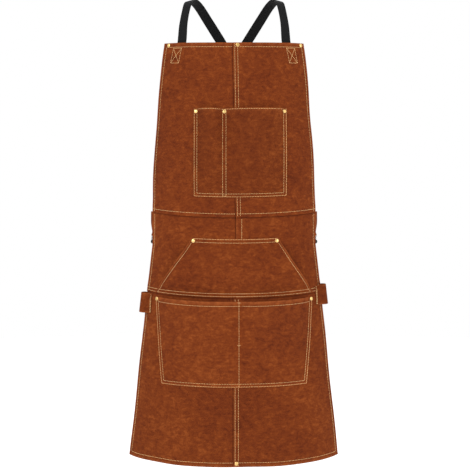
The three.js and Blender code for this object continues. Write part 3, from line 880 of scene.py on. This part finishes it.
hand_hide = finish("brown_suede_hand", suede(0.98, 17.9))
hand_marks = np.array([0, 0.3, 0.8, 1.4, 2, 2.8, 5, 7.5, 9, 10.5, 12, 13.5, 17]) / 1000
downs = spread(hand_top, hand_bottom, hand_marks, hand_marks[[0, 2, 4, 6, 8, 10, 11, 12]], 24)
side_marks = np.array([0, 0.3, 0.8, 1.4, 4, 6.1, 7.5, 8.9, 12]) / 1000
across = spread(hand_side(-1, downs), hand_side(1, downs), side_marks, side_marks, 56)
down = np.broadcast_to(downs[:, None], across.shape)
rub = np.minimum(across - hand_side(-1, down), hand_side(1, down) - across)
worn = bell(np.minimum(rub, down - hand_top), pocket_rub)
front, back = hand_front(across, down), hand_face(across, down) - leather
piece = leather_sheet("hand_pocket_leather", across, down, front, back, worn, hand_hide)
start, end = hand_corner[-1] + 0.004, hand_corner[1] - 0.004
held = [line((start, hand_top + row), (end, hand_top + row), 60) for row in hand_top_rows]
held += [line((hand_side(-1, d) + 0.006, d), (hand_side(1, d) - 0.006, d), 80) for d in hip_rows]
slanted = []
for side in (-1, 1):
    downs = np.linspace(hand_top + sewn_margin, hand_bottom - 0.004, 50)
    slanted.append(np.stack([hand_side(side, downs) - side * hand_side_row, downs], -1))
threads = stitched("hand_pocket_stitches", [*held, *slanted], hand_front, held[:2], body_back)
declare(piece, ["hand_pocket"])


# ---------------------------------------------------------------- tool pocket

# The broad pocket below the hip seam, split in two by one row of stitching. Its sides lean in
# towards the bottom and carry two rows, and a tack half way down strengthens the divider.
tool_top, tool_bottom = 0.653, 0.868


def tool_side(side):
    """A straight side from 41 mm inside the apron's edge at the top to 90 mm inside at the bottom."""
    start = half_width(tool_top) - 0.041
    end = half_width(tool_bottom) - 0.090
    return lambda down: side * mix(start, end, share(down, tool_top, tool_bottom))


tool_hide = finish("brown_suede_tool", suede(1.01, 23.2))
tool = PatchPocket(
    tool_side(-1), tool_side(1), top=tool_top, bottom=tool_bottom,
    divider=0.0125, bulge=0.016, divider_rows=(0.0,), top_inset=0.0115,
)
piece = tool.make("tool_pocket_leather", tool_hide, (32, 30))
sewn, top_row = tool.rows()
tacks = [bar_tack(tool.divider, tool_top + drop) for drop in (0.003, 0.109)]
rows = [*sewn, top_row, *tacks]
threads = stitched("tool_pocket_stitches", rows, tool.front, sewn, body_back)
declare(piece, ["tool_pocket"])


# ---------------------------------------------------------------- hammer loops

# A band of hide at each hip, sewn to the front inside the side edge, bowed out past it to hold a
# hammer, and sewn on again behind.
def through(points, count):
    """A smooth line through points: a centripetal Catmull-Rom curve, read at even distances."""
    points = np.asarray(points, float)
    ends = 2 * points[[0, -1]] - points[[1, -2]]
    p = np.concatenate([ends[:1], points, ends[1:]])
    gap = np.linalg.norm(np.diff(p, axis=0), axis=-1)[:, None] ** 0.5
    a, b, c = gap[:-2], gap[1:-1], gap[2:]
    p0, p1, p2, p3 = p[:-3], p[1:-2], p[2:-1], p[3:]
    leaving = ((p1 - p0) / a - (p2 - p0) / (a + b) + (p2 - p1) / b) * b
    arriving = ((p2 - p1) / b - (p3 - p1) / (b + c) + (p3 - p2) / c) * b
    t = np.linspace(0, 1, 24, endpoint=False)[:, None, None]
    curve = (
        (2 * t**3 - 3 * t**2 + 1) * p1 + (t**3 - 2 * t**2 + t) * leaving
        + (3 * t**2 - 2 * t**3) * p2 + (t**3 - t**2) * arriving
    )
    curve = np.concatenate([curve.transpose(1, 0, 2).reshape(-1, points.shape[1]), points[-1:]])
    run = length_along(curve)
    places = np.linspace(0, run[-1], count)
    return np.stack([np.interp(places, run, axis) for axis in curve.T], -1)


def arc(x, z, radius, start, end, count):
    """Points round part of a circle in a plane."""
    angle = np.linspace(start, end, count)
    return np.stack([x + radius * np.cos(angle), z + radius * np.sin(angle)], -1)


def left_of(path):
    """Unit directions square to a flat path, to the left of the way it runs."""
    run = unit(np.gradient(path, axis=0))
    return np.stack([-run[:, 1], run[:, 0]], -1)


def facing_out(points, faces):
    """The faces, turned round together if the solid they close would have a negative volume."""
    volume = 0.0
    for group in faces:
        for k in range(1, group.shape[1] - 1):
            a, b, c = (points[group[:, i]] for i in (0, k, k + 1))
            volume += np.einsum("ij,ij->", a, np.cross(b, c))
    return faces if volume > 0 else [group[:, ::-1] for group in faces]


loop_middle = {"left": 0.673, "right": 0.652}
loop_height, loop_stand, loop_reach, loop_sewn = 0.050, 0.015, 0.007, 0.010
loop_front, loop_back = 0.028, 0.022
loop_steps = 72
play = 0.0003                     # the gap left between pieces that lie together
behind_edge = -3 * leather - play
loop_hide = finish("brown_suede_loops", suede(0.9, 29.3))


def loop_face(across, down):
    """The loop's face where it is sewn flat to the front of the apron."""
    return 0 * across + play + leather


for side, word in SIDES:
    middle = loop_middle[word]
    edge = float(half_width(middle))
    radius = (loop_stand + leather - behind_edge) / 2
    route = through(np.concatenate([
        [
            (edge - loop_front, play),
            (edge - loop_front + loop_sewn * 0.6, play),
            (edge - loop_front + loop_sewn * 1.3, loop_stand * 0.45),
            (edge - loop_front + loop_sewn * 2, loop_stand * 0.92),
        ],
        arc(edge + loop_reach - radius, loop_stand - radius, radius, np.pi / 2, -np.pi / 2, 11),
        [(edge - loop_back + loop_sewn, behind_edge), (edge - loop_back, behind_edge)],
    ]), loop_steps)
    outer = route + leather * left_of(route)
    border = [0, 0.0004, 0.0014]
    downs = spread(middle - loop_height / 2, middle + loop_height / 2, border, border, 12)
    from_edge = np.minimum(downs - downs[0], downs[-1] - downs)
    shift = (half_width(downs) - edge)[:, None]
    thin = rolled(from_edge, leather / 2)[:, None, None] * left_of(route)
    near = drape(side * ((outer - thin)[..., 0] + shift), downs[:, None], (outer - thin)[..., 1])
    far = drape(side * ((route + thin)[..., 0] + shift), downs[:, None], (route + thin)[..., 1])
    points = np.stack([near, far]).reshape(-1, 3)
    flat = np.stack(np.meshgrid(np.linspace(0, 0.09, loop_steps), downs), -1)
    worn = bell(from_edge, 0.003)
    piece = put_mesh(
        f"hammer_loop_leather_{word}",
        points,
        facing_out(points, shell_faces(len(downs), loop_steps)),
        loop_hide,
        uv=np.stack([flat, flat]).reshape(-1, 2),
        worn=np.broadcast_to(worn[None, :, None], (2, len(downs), loop_steps)).copy(),
    )
    top, bottom = middle - loop_height / 2 + edge_gap, middle + loop_height / 2 - edge_gap
    rows = [
        line((side * across, top), (side * across, bottom))
        for across in (edge - loop_front + 0.002, edge - loop_front + 0.005)
    ]
    threads = [with_thread(sew(f"hammer_loop_stitches_{word}", rows, loop_face))]
    declare(piece, [f"hammer_loop_{word}"])


# ---------------------------------------------------------------- waist tabs and rings

# At each side of the waist a short leather tab is sewn behind the bib's edge and folded round the
# upper bar of a nickel-plated rectangular ring, which hangs in the fold.
strap_width, strap_thick = 0.026, 0.0016
tab_top, tab_inset, tab_sewn, tab_drop, tab_stand = 0.424, -0.004, 0.030, 0.485, 0.0011
ring_wire, ring_inside, ring_drop, ring_corner = 0.004, 0.030, 0.018, 0.005
eye_radius, main_out, return_out, straight_rise = 0.005, -0.014, -0.024, 0.095
ring_low_bar = tab_drop + ring_drop
bar_behind = 2 * leather + play + eye_radius + strap_thick / 2
tab_lean = bar_behind - 3 * leather - tab_stand - play / 2


class SideFrame:
    """Where the hardware of one side is measured from: the ring's lower bar, with the way out from
    the body, the way along the leather, and up."""

    def __init__(self, side):
        across = float(half_width(tab_top)) - tab_inset
        turn = float(turn_at(across, tab_top))
        origin = drape(side * across, tab_top, -bar_behind)
        self.side = side
        self.origin = np.array([origin[0], origin[1], -shoulder_rise - ring_low_bar])
        self.outward = np.array([side * np.sin(turn), -np.cos(turn), 0.0])
        self.aside = np.array([side * np.cos(turn), np.sin(turn), 0.0])

    def place(self, route, sideways=0.0):
        """Points of a route given as (out, rise) pairs."""
        route = np.asarray(route, float)
        return self.origin + route[:, :1] * self.outward + route[:, 1:] * up + sideways * self.aside

    def across_route(self, route):
        """The route's points, the way its band faces and the way across it."""
        normal = left_of(np.asarray(route, float))
        facing = normal[:, :1] * self.outward + normal[:, 1:] * up
        return self.place(route), facing, np.broadcast_to(self.aside, facing.shape)


def ribbon(name, centre, facing, sideways, width, thick, material, edge=0.5, **attributes):
    """A flat band carried along a path. Its section is a rounded rectangle: a superellipse, half the
    width times the cosine's power and half the thickness times the sine's power."""
    angle = round_about(36)
    wide = width / 2 * np.sign(np.cos(angle)) * np.abs(np.cos(angle)) ** 0.6
    high = thick / 2 * np.sign(np.sin(angle)) * np.abs(np.sin(angle)) ** edge
    points = centre[:, None] + wide[:, None] * sideways[:, None] + high[:, None] * facing[:, None]
    run = length_along(centre)
    flat = np.stack(np.broadcast_arrays(wide[None], run[:, None]), -1).reshape(-1, 2)
    rings, n = points.shape[:2]
    k = np.arange(n)
    ends = np.stack([k[::-1], (rings - 1) * n + k])
    points = points.reshape(-1, 3)
    faces = facing_out(points, [band_quads(rings, n), ends])
    attributes = {key: np.full(len(points), value) for key, value in attributes.items()}
    return put_mesh(name, points, faces, material, uv=flat, sharp=1.2, **attributes)


def closed_tube(points, around_count, radius, plane_normal):
    """Points and quads of a round wire that runs back into itself, bent in one plane."""
    aside = np.cross(unit(np.roll(points, -1, 0) - np.roll(points, 1, 0)), plane_normal)
    rings = points[:, None] + radius * circle(around_count, aside, plane_normal)
    rings = rings.reshape(-1, 3)
    return rings, band_quads(len(points) + 1, around_count) % len(rings)


def bright_plating(start):
    """Nickel plating on wire: bright, with fine draw marks and a little handling haze."""
    haze = start.place().noise(160, 5, 0.6)
    scratch = start.place().times((1, 1, 9)).noise(900, 2)
    return {
        "Base Color": haze.between(0.3, 0.7).tint((0.56, 0.56, 0.57, 1), (0.74, 0.73, 0.72, 1)),
        "Metallic": 1.0,
        "Roughness": 0.16 + 0.2 * haze.between(0.35, 0.75),
        "Normal": scratch.bump(0.12, 0.0001),
    }


nickel = finish("nickel_plate", bright_plating)
tab_hide = finish("brown_suede_tabs", suede(0.92, 31.7))
frames = {side: SideFrame(side) for side in (-1, 1)}
for side, word in SIDES:
    place = frames[side]
    top, bar = ring_low_bar - tab_top, ring_drop
    half = (leather + play) / 2
    eye = ring_wire / 2 + play + leather / 2 + 0.0002
    neck, wrap = bar + 2.2 * eye, 0.8
    sewn_to = top - tab_sewn
    route = through(np.concatenate([
        [(half + tab_lean, top), (half + tab_lean, sewn_to)],
        [(half + tab_lean / 2, (sewn_to + neck) / 2), (half, neck)],
        arc(0, bar, eye, wrap, -np.pi - wrap, 15),
        [(-half, neck), (-half + tab_lean / 2, (sewn_to + neck) / 2), (-half + tab_lean, sewn_to),
         (-half + tab_lean, top - tab_sewn * 0.2)],
    ]), 120)
    piece = ribbon(
        f"waist_tab_leather_{word}", *place.across_route(route), strap_width, leather, tab_hide,
        edge=0.35, worn=0.25,
    )
    declare(piece, [f"waist_tab_{word}"])

    long_half, tall_half = ring_inside / 2 + ring_wire / 2, ring_drop / 2
    corners = [
        arc(x * (long_half - ring_corner), tall_half + z * (tall_half - ring_corner), ring_corner,
            quarter * np.pi / 2, (quarter + 1) * np.pi / 2, 10)
        for x, z, quarter in ((1, 1, 0), (-1, 1, 1), (-1, -1, 2), (1, -1, 3))
    ]
    wire = np.concatenate(corners)
    points = place.origin + wire[:, :1] * place.aside + wire[:, 1:] * up
    points, quads = closed_tube(points, 20, ring_wire / 2, place.outward)
    piece = put_mesh(f"waist_ring_{word}", points, facing_out(points, [quads]), nickel)
    declare(piece, [f"ring_{word}"], f"ring_{word}")


# ---------------------------------------------------------------- straps

# Two straps of black polypropylene webbing, each sewn behind one corner of the bib, carried over the
# shoulder, crossed at the back and brought down the other flank to its ring, where it turns back.
chevron_width, rib_pitch, yarn_pitch = 0.0065, 0.0019, 0.0011


def webbing_surface(start):
    """Woven black tape: two bands of slanting ribs that meet in chevrons, a dense selvedge at each
    edge, and the ribs' crowns slightly lighter and the hollows between them darker, following the weave's
    height."""
    flat = start.node("UVMap", {"uv_map": "flat"})
    u = start.node("SeparateXYZ", inputs={0: flat}, output=0)
    v = start.node("SeparateXYZ", inputs={0: flat}, output=1)
    zigzag = start.math("PINGPONG", u / chevron_width, 1.0)
    ribs = start.math("SINE", (v / rib_pitch + 0.8 * zigzag) * (2 * np.pi))
    yarns = start.math("SINE", u / yarn_pitch * (2 * np.pi))
    weave = (0.5 + 0.35 * ribs) + 0.15 * yarns
    dust = start.place().noise(60, 5, 0.7)
    colour = weave.between(0.1, 0.95).tint((0.0006, 0.0006, 0.0007, 1), (0.0105, 0.0106, 0.0110, 1))
    colour = (dust.between(0.5, 0.75) * 0.3).tint(colour, (0.018, 0.018, 0.0182, 1))
    return {
        "Base Color": colour,
        "Roughness": 0.62 + 0.25 * dust,
        "Specular IOR Level": 0.12,
        "Sheen Weight": 0.01,
        "Normal": weave.bump(0.9, 0.0007),
    }


webbing = finish("black_webbing", webbing_surface)
strap_points = np.array([
    (-129, -60, -70), (-119, -41, -17), (-110.5, -4, 0), (-94.5, 42, -5), (-69, 79, -38),
    (-38.5, 99, -83), (0, 110, -142), (62, 106, -238), (117, 90, -326), (160, 60, -404), (187, 24, -468),
]) / 1000
strap_foot, strap_neck = (0.151, 0.054), (0.139, 0.002)     # its end and the bib's top, behind
body_half = 0.2, 0.112, 0.088     # half the width, depth and height of the body the strap lies on
body_height = -0.095
crossing_height = -0.142
strap_cross, strap_cross_half = 0.003, 0.065     # how far one strap climbs over the other, and where
slider_drop = 0.062


def strap_path(place, rides):
    """The strap's centre, the way it faces and the way across it. It faces outward from a body that is
    narrow front to back and rounded at the shoulder, and turns to lie along the bib and the flank."""
    side = place.side
    behind_bib = -2 * leather - 5 * play - strap_thick / 2
    across, down = np.transpose([strap_foot, strap_neck])
    sewn = drape(-side * across, down, behind_bib)
    bib_turn = float(turn_at(across.mean(), strap_neck[1]))
    bib_normal = np.array([-side * np.sin(bib_turn), -np.cos(bib_turn), 0.0])
    end = place.place([(main_out, straight_rise), (main_out, straight_rise * 0.8)])
    centre = through(np.concatenate([sewn, strap_points * (side, 1, 1), end]), 240)[:-6]
    along = unit(np.gradient(centre, axis=0))
    from_body = np.stack([centre[:, 0], centre[:, 1], np.maximum(0, centre[:, 2] - body_height)], -1)
    facing = unit(from_body / np.square(body_half))
    flank = smooth(share(-centre[:, 2], 0.400, -end[0, 2] - 0.008))[:, None]
    facing = unit(mix(facing, place.outward, flank))
    front = (centre[:, 1] < 0) & (centre[:, 0] * side < 0)
    to_bib = smooth(share(-centre[:, 2], shoulder_rise * 0.5, shoulder_rise - 0.008)) * front
    facing = unit(mix(facing, bib_normal, to_bib[:, None]))
    sideways = unit(np.cross(along, facing))
    facing = unit(np.cross(sideways, along))
    reach = np.where(centre[:, 1] > 0, np.abs(centre[:, 2] - crossing_height), strap_cross_half)
    climb = smooth(1 - share(reach, strap_cross_half * 0.55, strap_cross_half))
    return centre + (rides * strap_cross * climb)[:, None] * facing, facing, sideways


def strap_end_route():
    """Down behind the ring, out through it, round its lower bar and back up to the slider."""
    bend = 0.0035
    return through(np.concatenate([
        [(main_out, straight_rise * 0.66), (main_out, straight_rise * 0.33)],
        [(main_out, eye_radius + bend + 0.006)],
        arc(main_out + bend, eye_radius + bend, bend, np.pi, 1.5 * np.pi, 4),
        arc(0, 0, eye_radius, np.pi / 2, -np.pi / 2, 9),
        arc(return_out + bend, bend - eye_radius, bend, 1.5 * np.pi, np.pi, 4),
        [(return_out, slider_drop * 0.5), (return_out, slider_drop)],
    ]), 150)


for side, word in SIDES:
    place = frames[side]
    centre, facing, sideways = strap_path(place, 1 if side > 0 else 0)
    end_centre, end_facing, end_sideways = place.across_route(strap_end_route())
    same = np.sign(sideways[-1] @ place.aside)
    piece = ribbon(
        f"back_strap_to_{word}_ring",
        np.concatenate([centre, end_centre]),
        np.concatenate([facing, same * end_facing]),
        np.concatenate([sideways, same * end_sideways]),
        strap_width, strap_thick, webbing, edge=0.3,
    )
    declare(piece, [f"strap_to_{word}_ring"])


# ---------------------------------------------------------------- sliders

# A nickel-plated three-bar slider shortens each strap. The webbing's end is folded round its middle
# bar and sewn down to itself; slider and sewn end move together on the strap.
slider_bar, slider_rail, slider_side, slider_pitch, lap_length = 0.0026, 0.0026, 0.001, 0.011, 0.034
outer_play, inner_play = 0.0004, 0.0008
slider_outer = main_out + strap_thick / 2 + outer_play + slider_bar / 2
slider_inner = main_out - 1.5 * strap_thick - inner_play - slider_bar / 2
rail_half = strap_width / 2 + slider_side + slider_rail / 2


def moved(route):
    """The route measured from the slider's middle instead of the ring's lower bar."""
    return np.asarray(route, float) + (0, slider_drop)


for side, word in SIDES:
    place = frames[side]
    shoulder_out = mix(slider_inner, slider_outer, 0.55)
    rail = through([
        (slider_outer, slider_pitch), (shoulder_out, slider_pitch * 0.45), (slider_inner, 0),
        (shoulder_out, -slider_pitch * 0.45), (slider_outer, -slider_pitch),
    ], 30)
    parts = []
    for across_way in (-rail_half, rail_half):
        half_rail = 0.0007 * left_of(rail)
        out_and_back = np.concatenate([rail + half_rail, (rail - half_rail)[::-1]])
        points = place.place(moved(out_and_back), across_way)
        parts.append(closed_tube(points, 14, slider_rail / 2 - 0.0002, place.aside))
    for out, rise in ((slider_outer, slider_pitch), (slider_outer, -slider_pitch), (slider_inner, 0)):
        section = arc(out, rise, slider_bar / 2, 0, 2 * np.pi, 21)[:-1]
        bar = np.concatenate([place.place(moved(section), s) for s in (-rail_half, rail_half)])
        parts.append((bar, band_quads(2, len(section))))
    points, faces, count = [], [], 0
    for part_points, part_quads in parts:
        faces.append(facing_out(part_points - part_points.mean(0), [part_quads])[0] + count)
        points.append(part_points)
        count += len(part_points)
    piece = put_mesh(f"strap_slider_{word}", np.concatenate(points), faces, nickel)
    declare(piece, [f"slider_{word}"], f"adjuster_{word}")

    eye = slider_bar / 2 + play + strap_thick / 2
    inner = return_out + strap_thick + play
    outer = inner + strap_thick + play
    route = through(np.concatenate([
        [(outer, -lap_length), (outer, -lap_length * 0.6)],
        [(mix(slider_inner + eye, outer, 0.5), -lap_length * 0.36)],
        arc(slider_inner, 0, eye, -0.3, np.pi + 0.5, 13),
        [(inner, -lap_length * 0.3), (inner, -lap_length * 0.6), (inner, -lap_length)],
    ]), 110)
    piece = ribbon(
        f"webbing_end_{word}", *place.across_route(moved(route)), strap_width, strap_thick, webbing, edge=0.3
    )
    declare(piece, [f"strap_end_{word}"], f"adjuster_{word}")


# ---------------------------------------------------------------- rivets

# Brass rivets hold the hems and the pockets' corners: a domed, rolled cap in front and a pierced
# washer behind, with the shank pressed over in its eye.
def worn_brass(start):
    """Brass-plated caps: bright on the dome, with brown tarnish gathered in patches."""
    haze = start.place().noise(380, 5, 0.65)
    patch = start.place().noise(120, 4)
    return {
        "Base Color": patch.between(0.42, 0.7).tint((0.78, 0.53, 0.21, 1), (0.40, 0.23, 0.08, 1)),
        "Metallic": 1.0,
        "Roughness": 0.2 + 0.3 * haze.between(0.35, 0.7),
        "Normal": haze.bump(0.15, 0.0001),
    }


brass = finish("brass", worn_brass)
cap_profile = np.array([
    (0, 0), (4.5, 0), (4.9, 0.25), (5.0, 0.7), (4.85, 1.1),
    (4.4, 1.45), (3.6, 1.8), (2.5, 2.06), (1.2, 2.18), (0, 2.2),
]) / 1000
washer_profile = np.array([
    (0, 0), (4.4, 0), (4.6, 0.2), (4.6, 0.6), (4.3, 0.85), (3.2, 0.95), (1.9, 0.85),
    (1.7, 0.6), (1.5, 0.62), (1.3, 1.15), (0.9, 1.5), (0.4, 1.4), (0, 1.2),
]) / 1000


cap_sunk, washer_gap = 0.0001, 0.0001


def turned_on(profile, seat, outward):
    """Points and quads of a profile spun round the way outward, with its poles closed by fans."""
    count = 32
    reference = unit(np.cross(outward, up))
    ring = circle(count, reference, np.cross(outward, reference))
    inner = profile[1:-1]
    points = seat + inner[:, None, None, 0] * ring + inner[:, None, None, 1] * outward
    points = points.reshape(-1, 3)
    poles = seat + profile[[0, -1], 1][:, None] * outward
    k = np.arange(count)
    onward = (k + 1) % count
    low_pole, high_pole = len(points), len(points) + 1
    last = count * (len(inner) - 1)
    fans = np.concatenate([
        np.stack([onward, k, np.full(count, low_pole)], -1),
        np.stack([last + k, last + onward, np.full(count, high_pole)], -1),
    ])
    points = np.concatenate([points, poles])
    return points, facing_out(points - seat, [band_quads(len(inner), count), fans])


def rivet(name, across, down, front, layers_behind=1):
    """A cap on the front face and a washer behind, square to the draped leather."""
    step = 0.003
    along = drape(across + step, down) - drape(across - step, down)
    fall = drape(across, down + step) - drape(across, down - step)
    outward = unit(np.cross(fall, along))
    seat = drape(across, down)
    cap_seat = seat + (float(front(across, down)) - cap_sunk) * outward
    washer_seat = seat - (layers_behind * leather + washer_gap - float(slack(across, down))) * outward
    for part, *turning in (
        ("cap", cap_profile, cap_seat, outward), ("washer", washer_profile, washer_seat, -outward),
    ):
        piece = put_mesh(f"brass_{name}_{part}", *turned_on(*turning), brass, sharp=0.7)
        declare(piece, [f"rivet_{name}_{part}"])


rivet("bib_left", -0.176, 0.006, bib[-1].front, 2)
rivet("bib_centre", 0.009, 0.006, bib[1].front, 2)
rivet("bib_right", 0.181, 0.006, bib[1].front, 2)
rivet("hem", 0.0065, apron_length - 0.009, skirt[1].front, 2)
inset = sewn_margin / 2
corners = ("left", chest_left + inset), ("divider", chest.divider), ("right", chest_right - inset)
for word, across in corners:
    rivet(f"chest_{word}", across, chest.top + 0.009, chest.front)
for side, word in SIDES:
    rivet(f"hand_{word}", hand_corner[side] - side * inset, hand_top + 0.008, hand_front)
for side, word in SIDES:
    across = float(tool_side(side)(tool_top)) - side * 0.005
    rivet(f"tool_{word}", across, tool_top + 0.0055, tool.front)
